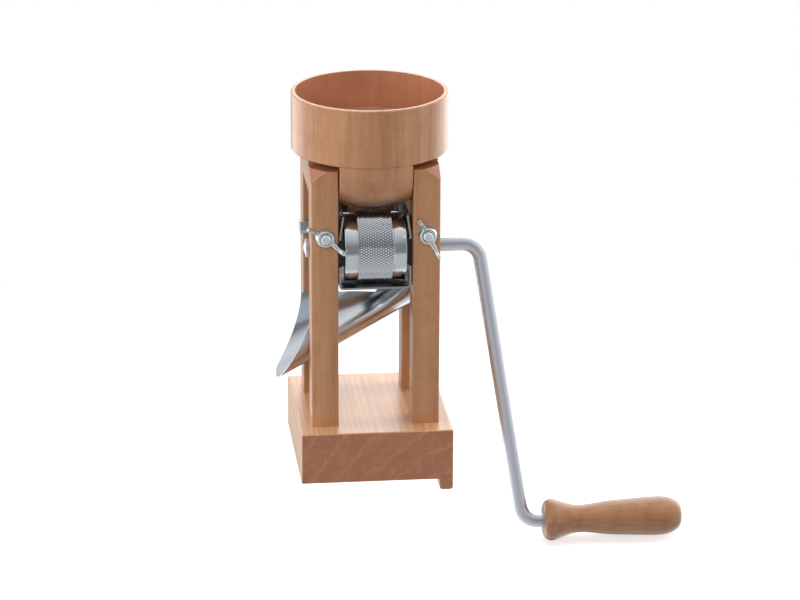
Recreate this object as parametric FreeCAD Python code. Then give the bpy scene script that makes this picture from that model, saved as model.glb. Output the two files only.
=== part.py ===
import FreeCAD, Part
import math
import os

from FreeCAD import Vector

# Grain flaker, all sizes in millimetres.
# The frame: +Z is up, the crank is on +X and the front with the wing nuts is on -Y.
# The origin lies on the hopper axis, in the table plane under the base block.

# Base block and the lip that hooks over the table edge
base_height = 42.8
base_side_margin = 10.1
base_front_margin = 18.4
base_back_margin = 21.3
base_edge_radius = 1.5
lip_width = 11.0
lip_drop = 10.5
lip_edge_chamfer = 2.0

# Posts
post_side = 22.4
post_length = 219.5
post_depth_gap = 58.7
post_edge_radius = 1.5
post_turn_radius = 65.0
post_turn_slope = 0.9

# Side rails that join the posts and carry the hopper
rail_height = 27.2
rail_thickness = 14.0
rail_rise = 4.9
dowel_radius = 4.0
dowel_length = 24.0

# Hopper
collar_radius = 64.4
collar_height = 48.3
collar_wall = 3.5
bowl_taper = 2.5
bowl_straight_depth = 31.0
bowl_round_depth = 13.0
bowl_floor_radius = 37.0
bowl_cone_depth = 23.0
body_inset = 1.0
body_foot_radius = 40.5
outlet_radius = 14.0
outlet_gap = 9.2
spout_wall = 4.0
spout_rise = 16.0
spout_clearance = 1.5
notch_clearance = 0.8
rim_edge_radius = 1.2

# Rollers
roller_radius = 28.0
roller_length = 50.6
knurl_length = 30.2
groove_width = 1.0
groove_depth = 0.5
roller_edge_chamfer = 0.8
nip_gap = 0.4
axle_radius = 6.0
axle_drop = 71.3
axle_overhang = 3.2
running_clearance = 0.05

# Crank rod, one bent bar that is also the front axle
crank_start = 34.2
crank_throw = 249.0
crank_lean = 9.3
crank_bend_radius = 16.0
crank_grip_length = 124.0
cap_radius = 7.8
cap_length = 3.8
cap_seat = 2.2

# Grip
grip_offset = 17.7
grip_length = 118.0
grip_flare_radius = 17.6
grip_neck_radius = 12.0
grip_bulb_radius = 16.3
grip_pin_radius = 1.5
grip_pin_place = 72.0
pin_groove_clearance = 0.1

# Bearing blocks of the front roller
block_height = 23.0
block_front = 17.0
block_back = 13.0
side_play = 0.1
block_screw_radius = 1.75
block_screw_head = 3.5
block_screw_length = 16.0
block_screw_inset = 4.5

# Yoke, one folded sheet whose two cheeks carry the rear roller
plate_inset = 2.7
plate_thickness = 1.6
plate_clearance = 0.9
plate_front = 20.0
plate_back = 17.0
plate_bottom_drop = 31.0
web_depth = 34.0
yoke_bend_radius = 2.0
plate_shoulder_rise = 14.0
plate_top_rise = 28.0
plate_corner_radius = 8.0
slot_play = 1.0
lip_top_rise = 31.5
lip_lean = 2.6
lip_length = 17.0
plate_travel = 1.6
ear_reach = 8.5
ear_gap = 2.3
ear_top_margin = 9.0
bush_flange_radius = 10.0
bush_spigot_radius = 8.0

# Draw bolts, washers and wing nuts, all M8
bolt_rise = 17.2
bolt_radius = 4.0
bolt_length = 40.3
bolt_head_radius = 8.0
bolt_head_height = 4.4
bolt_neck_side = 8.0
bolt_end_chamfer = 0.8
bolt_hole_radius = 4.5
washer_radius = 8.0
washer_hole_radius = 4.3
washer_thickness = 1.6
nut_base_radius = 8.0
nut_top_radius = 6.6
nut_height = 9.0
wing_reach = 19.5
wing_height = 17.5
wing_thickness = 3.0
wing_tip_radius = 4.6
left_nut_angle = 36.6
right_nut_angle = 62.5

# Chute, a bent sheet trough
chute_sheet = 1.2
chute_slope = 29.5
chute_drop = 76.0
chute_fold_radius = 24.0
chute_lip_reach = 26.8
chute_tip_rise = 0.3
chute_head_margin = 2.9
chute_corner_gap = 1.4
chute_corner_rise = 36.3
chute_back_rise = 14.0
chute_rim_rise = 19.2
chute_flank_rise = 24.7
chute_lug_rise = 8.3
chute_tab_rise = 11.5
chute_front_sweep = 1.8
chute_back_sweep = 6.0
chute_screw_radius = 1.5
chute_screw_head = 2.8
chute_screw_height = 2.0
chute_screw_length = 14.0
chute_screw_fold_gap = 0.6

# Screws that hold the posts on the base
base_screw_radius = 2.5
base_screw_head = 5.0
base_screw_bite = 30.0

# Places worked out from the sizes above
roller_half = roller_length / 2
plate_inner = roller_half + plate_inset
plate_outer = plate_inner + plate_thickness
post_inner_x = plate_outer + plate_clearance
post_outer_x = post_inner_x + post_side
post_mid_x = post_inner_x + post_side / 2
post_inner_y = post_depth_gap / 2
post_outer_y = post_inner_y + post_side
post_mid_y = post_inner_y + post_side / 2
post_top = base_height + post_length
rail_top = post_top + rail_rise
rim_top = rail_top + collar_height
axle_z = post_top - axle_drop
axle_y = roller_radius + nip_gap / 2
body_bottom = axle_z + roller_radius + outlet_gap
bolt_z = axle_z + bolt_rise
block_inner = roller_half + side_play
grip_axis_z = axle_z - crank_throw
nut_face_y = -post_outer_y - washer_thickness
far = 400.0


def box(x0, x1, y0, y1, z0, z1):
    return Part.makeBox(x1 - x0, y1 - y0, z1 - z0, Vector(x0, y0, z0))


def rod_x(radius, x0, x1, y, z):
    return Part.makeCylinder(radius, x1 - x0, Vector(x0, y, z), Vector(1, 0, 0))


def rod_y(radius, y0, y1, x, z):
    return Part.makeCylinder(radius, y1 - y0, Vector(x, y0, z), Vector(0, 1, 0))


def rod_z(radius, z0, z1, x, y):
    return Part.makeCylinder(radius, z1 - z0, Vector(x, y, z0), Vector(0, 0, 1))


def line(start, end):
    return Part.LineSegment(start, end).toShape()


def arc(start, middle, end):
    return Part.Arc(start, middle, end).toShape()


def face_of(edges):
    return Part.Face(Part.Wire(edges))


def polygon(points):
    return Part.Face(Part.makePolygon(points + [points[0]]))


def mirrored(shape):
    return shape.mirror(Vector(0, 0, 0), Vector(1, 0, 0))


def vertical_edges(shape):
    found = []
    for edge in shape.Edges:
        ends = [vertex.Point for vertex in edge.Vertexes]
        if len(ends) < 2:
            continue
        run = ends[1] - ends[0]
        if abs(run.x) < 0.01 and abs(run.y) < 0.01:
            found.append(edge)
    return found


def chute_floor(x):
    """Height of the chute floor's underside at a place along X."""
    return axle_z - chute_drop + x * math.tan(math.radians(chute_slope))


def chute_fold_height():
    """Upright distance from the trough's underside to where its walls stand upright."""
    return chute_fold_radius / math.cos(math.radians(chute_slope))


def chute_screw_places():
    seat = chute_fold_height() + chute_screw_head + chute_screw_fold_gap
    low = chute_floor(-post_mid_x) + seat + chute_tab_rise / 5
    high = chute_floor(post_mid_x) + seat
    return [(-post_mid_x, low), (post_mid_x, high)]


def base_block():
    front = -post_outer_y - base_front_margin
    back = post_outer_y + base_back_margin
    half = post_outer_x + base_side_margin
    block = box(-half, half, front, back, 0, base_height)
    block = block.fuse(box(half - lip_width, half, front, back, -lip_drop, 1.0))
    block = block.removeSplitter()
    rounded = []
    for edge in block.Edges:
        low = edge.BoundBox.ZMin
        high = edge.BoundBox.ZMax
        upright = high - low > lip_drop
        if upright or low > base_height - 0.01:
            rounded.append(edge)
    block = block.makeFillet(base_edge_radius, rounded)
    foot = [edge for edge in block.Edges if edge.BoundBox.ZMax < 0.01 - lip_drop]
    foot = [edge for edge in foot if edge.BoundBox.YLength > post_side]
    block = block.makeChamfer(lip_edge_chamfer, foot)
    for x in (-post_mid_x, post_mid_x):
        for y in (-post_mid_y, post_mid_y):
            block = block.cut(base_screw(x, y))
    return block


def base_screw(x, y):
    head_height = base_screw_head - base_screw_radius
    tip = base_height + base_screw_bite
    shank = rod_z(base_screw_radius, head_height, tip, x, y)
    head = Part.makeCone(base_screw_head, base_screw_radius, head_height, Vector(x, y, 0))
    point = Part.makeCone(base_screw_radius, 0.4, base_screw_radius, Vector(x, y, tip))
    return head.fuse(shank).fuse(point).removeSplitter()


def base_screws():
    screws = []
    for x in (-post_mid_x, post_mid_x):
        for y in (-post_mid_y, post_mid_y):
            screws.append(base_screw(x, y))
    return Part.makeCompound(screws)


def post(side, end):
    """One post; side is -1 left or 1 right, end is -1 front or 1 rear."""
    x = side * post_mid_x
    y = end * post_mid_y
    half = post_side / 2
    body = box(x - half, x + half, y - half, y + half, base_height, post_top)
    body = body.makeFillet(post_edge_radius, vertical_edges(body))
    body = body.cut(base_screw(x, y))
    body = body.cut(rail_dowel(side, end))
    body = body.cut(axle_notch(side, end))
    body = body.cut(turned_corner())
    for place_x, place_z in chute_screw_places():
        if place_x * side > 0:
            body = body.cut(chute_screw(place_x, place_z, end))
    if end < 0:
        body = body.cut(rod_y(bolt_hole_radius, -far, 0, x, bolt_z))
        for screw in block_screw_pair(side):
            body = body.cut(screw)
    return body


def turned_corner():
    """Ring that turns the posts' outer top corners to the round of the collar."""
    reach = 20.0
    points = [
        Vector(post_turn_radius - post_turn_slope, 0, post_top + 1),
        Vector(post_turn_radius + reach, 0, post_top + 1),
        Vector(post_turn_radius + reach, 0, post_top - reach / post_turn_slope),
    ]
    return polygon(points).revolve(Vector(0, 0, 0), Vector(0, 0, 1), 360)


def axle_notch(side, end):
    """Clearance that an axle needs in the inner face of a post."""
    inner = min(side * post_inner_x, side * post_outer_x)
    outer = max(side * post_inner_x, side * post_outer_x)
    if end < 0:
        room = axle_radius + 0.3
        reach = -axle_y
        notch = box(inner, outer, reach, 0, axle_z - room, axle_z + room)
    else:
        room = axle_radius + running_clearance
        reach = axle_y + plate_travel + 0.3
        notch = box(inner, outer, 0, reach, axle_z - room, axle_z + room)
    return notch.fuse(rod_x(room, inner, outer, reach, axle_z))


def side_rail(side):
    inner = side * (post_outer_x - rail_thickness)
    outer = side * post_outer_x
    low = rail_top - rail_height
    rail = box(min(inner, outer), max(inner, outer), -post_inner_y, post_inner_y, low, rail_top)
    for end in (-1, 1):
        rail = rail.cut(rail_dowel(side, end))
    return rail


def rail_dowel(side, end):
    x = side * (post_outer_x - rail_thickness / 2)
    z = post_top - rail_height / 2 + rail_rise / 2
    y = end * post_inner_y
    return rod_y(dowel_radius, y - dowel_length / 2, y + dowel_length / 2, x, z)


def rail_dowels():
    return Part.makeCompound([rail_dowel(side, end) for side in (-1, 1) for end in (-1, 1)])


def hopper():
    """Turned bowl whose rounded body drops between the four posts."""
    top_radius = collar_radius - body_inset
    foot_radius = body_foot_radius
    depth = rail_top - body_bottom
    bulge = foot_radius + (top_radius - foot_radius) * math.sin(math.radians(60))
    middle = Vector(bulge, 0, rail_top - depth / 2)
    outline = [
        line(Vector(0, 0, rim_top), Vector(collar_radius, 0, rim_top)),
        line(Vector(collar_radius, 0, rim_top), Vector(collar_radius, 0, rail_top + body_inset)),
        line(Vector(collar_radius, 0, rail_top + body_inset), Vector(top_radius, 0, rail_top)),
        arc(Vector(top_radius, 0, rail_top), middle, Vector(foot_radius, 0, body_bottom)),
        line(Vector(foot_radius, 0, body_bottom), Vector(0, 0, body_bottom)),
        line(Vector(0, 0, body_bottom), Vector(0, 0, rim_top)),
    ]
    solid = face_of(outline).revolve(Vector(0, 0, 0), Vector(0, 0, 1), 360)
    rim = [edge for edge in solid.Edges if edge.BoundBox.ZMin > rim_top - 0.01]
    solid = solid.makeFillet(rim_edge_radius, rim)
    solid = solid.fuse(hopper_spout())
    for side in (-1, 1):
        for end in (-1, 1):
            solid = solid.cut(hopper_notch(side, end))
        wall = post_outer_x - rail_thickness - notch_clearance
        flat = box(min(side * wall, side * far), max(side * wall, side * far),
                   -far, far, body_bottom - 1, rail_top)
        solid = solid.cut(flat)
    return solid.cut(hopper_bore())


def hopper_notch(side, end):
    x = side * (post_inner_x - notch_clearance)
    y = end * (post_inner_y - notch_clearance)
    return box(min(x, side * far), max(x, side * far), min(y, end * far), max(y, end * far),
               body_bottom - 1, rail_top)


def hopper_spout():
    """Turned spout that reaches down between the rollers and clears both."""
    radius = outlet_radius + spout_wall
    spout = rod_z(radius, axle_z + spout_rise, body_bottom + 1, 0, 0)
    for y in (-axle_y, axle_y):
        room = roller_radius + spout_clearance
        spout = spout.cut(rod_x(room, -far, far, y, axle_z))
    return spout


def hopper_bore():
    bore_radius = collar_radius - collar_wall
    wall_foot = bore_radius - bowl_taper
    round_top = rim_top - bowl_straight_depth
    cone_top = round_top - bowl_round_depth
    cone_bottom = cone_top - bowl_cone_depth
    low = axle_z
    round_width = wall_foot - bowl_floor_radius
    half_turn = math.sin(math.radians(45))
    middle = Vector(bowl_floor_radius + round_width * half_turn, 0,
                    round_top - bowl_round_depth * half_turn)
    wall_end = Vector(wall_foot, 0, round_top)
    floor_end = Vector(bowl_floor_radius, 0, cone_top)
    neck = Vector(outlet_radius, 0, cone_bottom)
    outline = [
        line(Vector(0, 0, rim_top), Vector(bore_radius, 0, rim_top)),
        line(Vector(bore_radius, 0, rim_top), wall_end),
        arc(wall_end, middle, floor_end),
        line(floor_end, neck),
        line(neck, Vector(outlet_radius, 0, low)),
        line(Vector(outlet_radius, 0, low), Vector(0, 0, low)),
        line(Vector(0, 0, low), Vector(0, 0, rim_top)),
    ]
    return face_of(outline).revolve(Vector(0, 0, 0), Vector(0, 0, 1), 360)


def roller(y):
    """Roller with a raised knurled band between two turned grooves."""
    body = rod_x(roller_radius, -roller_half, roller_half, y, axle_z)
    ends = [edge for edge in body.Edges if edge.Curve.TypeId == "Part::GeomCircle"]
    body = body.makeChamfer(roller_edge_chamfer, ends)
    for side in (-1, 1):
        x = side * (knurl_length + groove_width) / 2
        x0 = x - groove_width / 2
        x1 = x + groove_width / 2
        ring = rod_x(roller_radius + 1, x0, x1, y, axle_z)
        body = body.cut(ring.cut(rod_x(roller_radius - groove_depth, x0, x1, y, axle_z)))
    return body.cut(rod_x(axle_radius, -far, far, y, axle_z))


def front_roller():
    return roller(-axle_y)


def rear_roller():
    return roller(axle_y)


def rear_axle():
    end = post_outer_x + axle_overhang
    axle = rod_x(axle_radius, -end, end, axle_y, axle_z)
    ends = [edge for edge in axle.Edges if edge.Curve.TypeId == "Part::GeomCircle"]
    return axle.makeChamfer(bolt_end_chamfer, ends)


def crank_corners():
    """Corners of the crank rod's centreline before it is bent round."""
    lean = math.radians(crank_lean)
    top_x = post_outer_x + crank_start
    start = Vector(-post_outer_x - cap_seat, -axle_y, axle_z)
    top = Vector(top_x, -axle_y, axle_z)
    low = Vector(top_x + crank_throw * math.tan(lean), -axle_y, grip_axis_z)
    end = Vector(low.x + crank_grip_length, -axle_y, grip_axis_z)
    return [start, top, low, end]


def crank_rod():
    start, top, low, end = crank_corners()
    turn = math.radians(90 - crank_lean)
    setback = crank_bend_radius * math.tan(turn / 2)
    edges = []
    here = start
    for corner, after in ((top, low), (low, end)):
        into = (corner - here).normalize()
        out = (after - corner).normalize()
        bend_start = corner - into * setback
        bend_end = corner + out * setback
        inward = (out - into).normalize()
        sag = crank_bend_radius * (1 / math.cos(turn / 2) - 1)
        middle = corner + inward * sag
        edges.append(line(here, bend_start))
        edges.append(arc(bend_start, middle, bend_end))
        here = bend_end
    edges.append(line(here, end))
    profile = Part.Wire([Part.Circle(start, Vector(1, 0, 0), axle_radius).toShape()])
    rod = Part.Wire(edges).makePipeShell([profile], True, False)
    return rod.cut(grip_pin_groove())


def grip_pin_centre():
    x = grip_start_x() + grip_pin_place
    return Vector(x, -axle_y, grip_axis_z + axle_radius - grip_pin_radius / 2)


def grip_pin_groove():
    """Ring turned in the rod, in which the grip's cross pin runs."""
    x = grip_pin_centre().x
    half = grip_pin_radius + pin_groove_clearance
    depth = 1.5 * grip_pin_radius + pin_groove_clearance
    outer = rod_x(axle_radius + 1, x - half, x + half, -axle_y, grip_axis_z)
    return outer.cut(rod_x(axle_radius - depth, x - half, x + half, -axle_y, grip_axis_z))


def grip_start_x():
    return crank_corners()[2].x + grip_offset


def grip():
    """Turned wooden grip: rounded flare, slim neck, full bulb, rounded end."""
    x0 = grip_start_x()
    stations = [
        (0.0, grip_flare_radius - 4.6),
        (0.018, grip_flare_radius - 1.6),
        (0.05, grip_flare_radius),
        (0.09, grip_flare_radius - 0.8),
        (0.22, grip_neck_radius),
        (0.42, (grip_neck_radius + grip_bulb_radius) / 2 - 0.6),
        (0.66, grip_bulb_radius - 0.8),
        (0.82, grip_bulb_radius),
        (0.93, grip_bulb_radius - 1.8),
        (0.98, grip_bulb_radius - 5.2),
        (1.0, grip_bulb_radius - 9.6),
    ]
    points = [Vector(x0 + share * grip_length, -axle_y, grip_axis_z + radius)
              for share, radius in stations]
    curve = Part.BSplineCurve()
    curve.interpolate(points)
    first = Vector(x0, -axle_y, grip_axis_z)
    last = Vector(x0 + grip_length, -axle_y, grip_axis_z)
    outline = [line(first, points[0]), curve.toShape(), line(points[-1], last), line(last, first)]
    solid = face_of(outline).revolve(first, Vector(1, 0, 0), 360)
    bore_end = crank_corners()[3].x + 1.0
    bore = rod_x(axle_radius + running_clearance, x0 - 5, bore_end, -axle_y, grip_axis_z)
    return solid.cut(bore).cut(grip_pin_bar())


def grip_pin_bar():
    centre = grip_pin_centre()
    reach = grip_bulb_radius - 2.6
    return rod_y(grip_pin_radius, centre.y - reach, centre.y + reach, centre.x, centre.z)


def grip_pin():
    return grip_pin_bar()


def axle_cap():
    """Domed cap pressed on the left end of the front axle."""
    seat = -post_outer_x - 0.4
    end = seat - cap_length
    body = rod_x(cap_radius, end, seat, -axle_y, axle_z)
    sphere_radius = (cap_radius ** 2 + cap_length ** 2) / (2 * cap_length)
    dome = Part.makeSphere(sphere_radius, Vector(end + sphere_radius, -axle_y, axle_z))
    band = rod_x(cap_radius, end + 1.6, seat, -axle_y, axle_z)
    body = body.common(dome.fuse(band))
    return body.cut(rod_x(axle_radius, -post_outer_x - cap_seat, 0, -axle_y, axle_z))


def bearing_block(side):
    """Black bearing block, screwed on the inner face of a front post."""
    inner = side * block_inner
    outer = side * post_inner_x
    y0 = -axle_y - block_front
    y1 = -axle_y + block_back
    half = block_height / 2
    block = box(min(inner, outer), max(inner, outer), y0, y1, axle_z - half, axle_z + half)
    bore = rod_x(axle_radius + running_clearance, -far, far, -axle_y, axle_z)
    block = block.cut(bore)
    for screw in block_screw_pair(side):
        block = block.cut(screw)
    return block


def block_screw_pair(side):
    pair = []
    for step in (-1, 1):
        y = -axle_y - block_front + block_screw_inset
        z = axle_z + step * (block_height / 2 - block_screw_inset)
        head_height = block_screw_head - block_screw_radius
        start = Vector(side * block_inner, y, z)
        along = Vector(side, 0, 0)
        head = Part.makeCone(block_screw_head, block_screw_radius, head_height, start, along)
        neck = start + along * head_height
        shank = Part.makeCylinder(block_screw_radius, block_screw_length - head_height, neck, along)
        pair.append(head.fuse(shank).removeSplitter())
    return pair


def block_screws():
    return Part.makeCompound(block_screw_pair(-1) + block_screw_pair(1))


def yoke():
    """Folded sheet: two cheeks, joined under the front roller by a web."""
    cheek = yoke_cheek()
    y_front = -axle_y - plate_front
    y_web = y_front + web_depth
    bottom = axle_z - plate_bottom_drop
    web = box(-plate_outer, plate_outer, y_front, y_web, bottom, bottom + plate_thickness)
    bend = yoke_bend(y_front, y_web)
    sheet = cheek.fuse(mirrored(cheek)).fuse(web)
    sheet = sheet.fuse(bend).fuse(mirrored(bend))
    waste = yoke_bend_waste(y_front, y_web)
    return sheet.cut(waste).cut(mirrored(waste)).removeSplitter()


def yoke_bend(y0, y1):
    """Metal in the right fold, inside its inner radius."""
    x = plate_inner - yoke_bend_radius
    z = axle_z - plate_bottom_drop + plate_thickness + yoke_bend_radius
    fold = box(x, plate_inner, y0, y1, z - yoke_bend_radius, z)
    return fold.cut(rod_y(yoke_bend_radius, y0, y1, x, z))


def yoke_bend_waste(y0, y1):
    """Corner outside the right fold's outer radius."""
    radius = yoke_bend_radius + plate_thickness
    x = plate_outer - radius
    z = axle_z - plate_bottom_drop + radius
    corner = box(x, plate_outer + 1, y0 - 1, y1, z - radius - 1, z)
    return corner.cut(rod_y(radius, y0 - 1, y1, x, z))


def yoke_cheek():
    """Right cheek of the yoke; the left one is its mirror image."""
    y_front = -axle_y - plate_front
    y_back = axle_y + plate_back
    bottom = axle_z - plate_bottom_drop
    shoulder = axle_z + plate_shoulder_rise
    top = axle_z + plate_top_rise
    lip_back = y_front + lip_length
    lip_front = y_back - lip_length
    points = [
        Vector(plate_inner, y_front, bottom),
        Vector(plate_inner, y_back, bottom),
        Vector(plate_inner, y_back, shoulder),
        Vector(plate_inner, lip_front, shoulder),
        Vector(plate_inner, lip_front, top),
        Vector(plate_inner, lip_back, top),
        Vector(plate_inner, lip_back, shoulder),
        Vector(plate_inner, y_front, shoulder),
    ]
    plate = polygon(points).extrude(Vector(plate_thickness, 0, 0))
    corners = []
    for edge in plate.Edges:
        spot = edge.BoundBox
        if spot.XLength > plate_thickness / 2 and spot.ZMax < bottom + 0.01:
            if spot.YMin > 0:
                corners.append(edge)
    plate = plate.makeFillet(plate_corner_radius, corners)
    plate = plate.fuse(guard_lip(y_front, lip_back, shoulder))
    plate = plate.fuse(guard_lip(lip_front, y_back, shoulder))
    plate = plate.fuse(bolt_ear())
    half = block_height / 2 + running_clearance
    slot_end = -axle_y + block_back + slot_play
    plate = plate.cut(box(0, far, -far, slot_end, axle_z - half, axle_z + half))
    plate = plate.cut(rod_x(bush_spigot_radius, 0, far, axle_y, axle_z))
    neck = bolt_neck_side / 2
    square = box(post_mid_x - neck, post_mid_x + neck, -far, far, bolt_z - neck, bolt_z + neck)
    return plate.cut(square).removeSplitter()


def guard_lip(y0, y1, low):
    """Lip over a roller's end, bent in towards the hopper outlet."""
    high = axle_z + lip_top_rise
    points = [
        Vector(plate_inner, y0, low),
        Vector(plate_outer, y0, low),
        Vector(plate_outer - lip_lean, y0, high),
        Vector(plate_inner - lip_lean, y0, high),
    ]
    return polygon(points).extrude(Vector(0, y1 - y0, 0))


def ear_front():
    return -post_inner_y + ear_gap


def bolt_ear():
    low = axle_z + block_height / 2 + 0.5
    high = bolt_z + ear_top_margin
    tip = post_mid_x + ear_reach
    ear = box(plate_inner, tip, ear_front(), ear_front() + plate_thickness, low, high)
    return ear


def draw_bolt():
    """Right M8 coach bolt through the ear and the front post."""
    head_y = ear_front() + plate_thickness
    tip_y = head_y - bolt_length
    neck = bolt_neck_side / 2
    shank = rod_y(bolt_radius, tip_y, head_y, post_mid_x, bolt_z)
    tip = [edge for edge in shank.Edges if edge.BoundBox.YMax < tip_y + 0.01]
    shank = shank.makeChamfer(bolt_end_chamfer, tip)
    square = box(post_mid_x - neck, post_mid_x + neck, ear_front(), head_y,
                 bolt_z - neck, bolt_z + neck)
    sphere_radius = (bolt_head_radius ** 2 + bolt_head_height ** 2) / (2 * bolt_head_height)
    centre_y = head_y + bolt_head_height - sphere_radius
    dome = Part.makeSphere(sphere_radius, Vector(post_mid_x, centre_y, bolt_z))
    head = rod_y(bolt_head_radius, head_y, head_y + bolt_head_height, post_mid_x, bolt_z)
    return shank.fuse(square).fuse(head.common(dome)).removeSplitter()


def rear_bush():
    """Right flanged bush of the rear axle, pressed in the side plate."""
    flange = rod_x(bush_flange_radius, block_inner, plate_inner, axle_y, axle_z)
    spigot = rod_x(bush_spigot_radius, plate_inner, plate_outer + 0.3, axle_y, axle_z)
    bore = rod_x(axle_radius + running_clearance, 0, far, axle_y, axle_z)
    return flange.fuse(spigot).removeSplitter().cut(bore)


def washer():
    y0 = nut_face_y
    ring = rod_y(washer_radius, y0, -post_outer_y, post_mid_x, bolt_z)
    return ring.cut(rod_y(washer_hole_radius, y0 - 1, 0, post_mid_x, bolt_z))


def wing_nut(side, angle):
    """Wing nut on a front post, turned clockwise by the angle seen in the photo."""
    x = side * post_mid_x
    base = Vector(x, nut_face_y, bolt_z)
    hub = Part.makeCone(nut_base_radius, nut_top_radius, nut_height, base, Vector(0, -1, 0))
    nut = hub
    for turn in (0, 180):
        wing = nut_wing()
        wing.rotate(Vector(0, 0, 0), Vector(0, 1, 0), angle + turn)
        wing.translate(Vector(x, nut_face_y, bolt_z))
        nut = nut.fuse(wing)
    bore = rod_y(bolt_radius + running_clearance, -far, 0, x, bolt_z)
    return nut.cut(bore).removeSplitter()


def nut_wing():
    """One wing in the plane of the bolt axis, at the origin."""
    root = nut_top_radius - 1.2
    tip_x = wing_reach - wing_tip_radius
    tip_y = -wing_height + wing_tip_radius
    low = Vector(root, 0, -1.0)
    points = [
        Vector(root, -1.2, 0),
        Vector(wing_reach - 0.4, tip_y + 1.6, 0),
        Vector(tip_x - wing_tip_radius, tip_y - 0.6, 0),
        Vector(root, -nut_height + 0.8, 0),
    ]
    blade = polygon(points).extrude(Vector(0, 0, wing_thickness))
    tip = Part.makeCylinder(wing_tip_radius, wing_thickness, Vector(tip_x, tip_y, 0))
    blade = blade.fuse(tip)
    blade.translate(Vector(0, 0, -wing_thickness / 2))
    return blade


def chute_section(inset, top):
    """Round-bottomed section of the trough, square to its slope."""
    half = post_inner_y - inset
    radius = chute_fold_radius - inset
    flat = half - radius
    middle = radius * math.cos(math.radians(45))
    level = inset + radius
    points = []
    for side in (-1, 1):
        wall_end = Vector(-far, side * half, top)
        fold_top = Vector(-far, side * half, level)
        fold_mid = Vector(-far, side * (flat + middle), level - middle)
        fold_foot = Vector(-far, side * flat, inset)
        points.append((wall_end, fold_top, fold_mid, fold_foot))
    left, right = points
    edges = [
        line(left[0], left[1]),
        arc(left[1], left[2], left[3]),
        line(left[3], right[3]),
        arc(right[3], right[2], right[1]),
        line(right[1], right[0]),
        line(right[0], left[0]),
    ]
    return face_of(edges).extrude(Vector(2 * far, 0, 0))


def chute_outline(front):
    """Side view of the front or rear half of the trough, from under its floor to its rim."""
    lip_x = -post_outer_x - chute_lip_reach
    head_x = post_outer_x - chute_head_margin
    corner_x = -post_outer_x - chute_corner_gap
    fold = chute_fold_height()
    tab_top = chute_floor(-post_mid_x) + fold + chute_tab_rise
    lug_top = chute_floor(post_mid_x) + fold + chute_lug_rise
    back_top = chute_floor(-post_mid_x) + fold + chute_back_rise
    tip = Vector(lip_x, 0, chute_floor(lip_x) + chute_tip_rise)
    foot = Vector(lip_x, 0, chute_floor(lip_x) - post_side)
    head = Vector(head_x, 0, chute_floor(head_x) - post_side)
    lug_end = Vector(head_x, 0, lug_top)
    lug = Vector(post_inner_x, 0, lug_top)
    flank = Vector(post_inner_x, 0, chute_floor(post_inner_x) + chute_flank_rise)
    bend_x = post_inner_x / 4
    if front:
        corner = Vector(corner_x, 0, chute_floor(corner_x) + chute_corner_rise)
        low_x = -post_inner_x
        rim = [
            Vector(bend_x, 0, chute_floor(bend_x) + chute_rim_rise),
            Vector(low_x, 0, chute_floor(low_x) + chute_rim_rise),
            Vector(low_x - post_side / 9, 0, tab_top),
            Vector(-post_outer_x + post_side / 7, 0, tab_top),
        ]
        sweep = chute_front_sweep
    else:
        corner = Vector(corner_x, 0, back_top)
        rim = [Vector(bend_x, 0, back_top)]
        sweep = chute_back_sweep
    middle = (corner + tip) * 0.5 + Vector(sweep, 0, 0)
    corners = [foot, head, lug_end, lug, flank] + rim + [corner]
    edges = [line(a, b) for a, b in zip(corners, corners[1:])]
    edges.append(arc(corner, middle, tip))
    edges.append(line(tip, foot))
    reach = -far if front else far
    return face_of(edges).extrude(Vector(0, reach, 0))


def chute():
    """Sheet trough with a round bottom, a swept lip and lugs for its screws."""
    shell = chute_section(0, far / 2).cut(chute_section(chute_sheet, far))
    shell.rotate(Vector(0, 0, 0), Vector(0, 1, 0), -chute_slope)
    shell.translate(Vector(0, 0, chute_floor(0)))
    trough = shell.common(chute_outline(True).fuse(chute_outline(False))).removeSplitter()
    for x, z in chute_screw_places():
        hole = rod_y(chute_screw_radius, -far, far, x, z)
        trough = trough.cut(hole)
    return trough


def chute_screw(x, z, end):
    """Round-head screw from inside the trough into a post."""
    seat = Vector(x, end * (post_inner_y - chute_sheet), z)
    outward = Vector(0, end, 0)
    shank = Part.makeCylinder(chute_screw_radius, chute_screw_length, seat, outward)
    radius = (chute_screw_head ** 2 + chute_screw_height ** 2) / (2 * chute_screw_height)
    centre = seat - outward * (chute_screw_height - radius)
    dome = Part.makeSphere(radius, centre)
    head = Part.makeCylinder(chute_screw_head, chute_screw_height, seat, outward * -1)
    return shank.fuse(head.common(dome)).removeSplitter()


def chute_screws():
    screws = []
    for x, z in chute_screw_places():
        for end in (-1, 1):
            screws.append(chute_screw(x, z, end))
    return Part.makeCompound(screws)


def all_nodes():
    nodes = {
        "base_block": base_block(),
        "base_screws": base_screws(),
        "rail_dowels": rail_dowels(),
        "hopper": hopper(),
        "yoke": yoke(),
        "chute": chute(),
        "chute_screws": chute_screws(),
        "block_screws": block_screws(),
        "front_roller": front_roller(),
        "rear_roller": rear_roller(),
        "rear_axle": rear_axle(),
        "crank_rod": crank_rod(),
        "axle_cap": axle_cap(),
        "grip": grip(),
        "grip_pin": grip_pin(),
        "wing_nut_left": wing_nut(-1, left_nut_angle),
        "wing_nut_right": wing_nut(1, right_nut_angle),
    }
    for side, side_name in ((-1, "left"), (1, "right")):
        for end, end_name in ((-1, "front"), (1, "rear")):
            nodes["post_" + end_name + "_" + side_name] = post(side, end)
        nodes["side_rail_" + side_name] = side_rail(side)
        nodes["bearing_block_" + side_name] = bearing_block(side)
    pairs = {
        "draw_bolt": draw_bolt(),
        "rear_bush": rear_bush(),
        "washer": washer(),
    }
    for name, shape in pairs.items():
        nodes[name + "_right"] = shape
        nodes[name + "_left"] = mirrored(shape)
    return nodes


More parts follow.
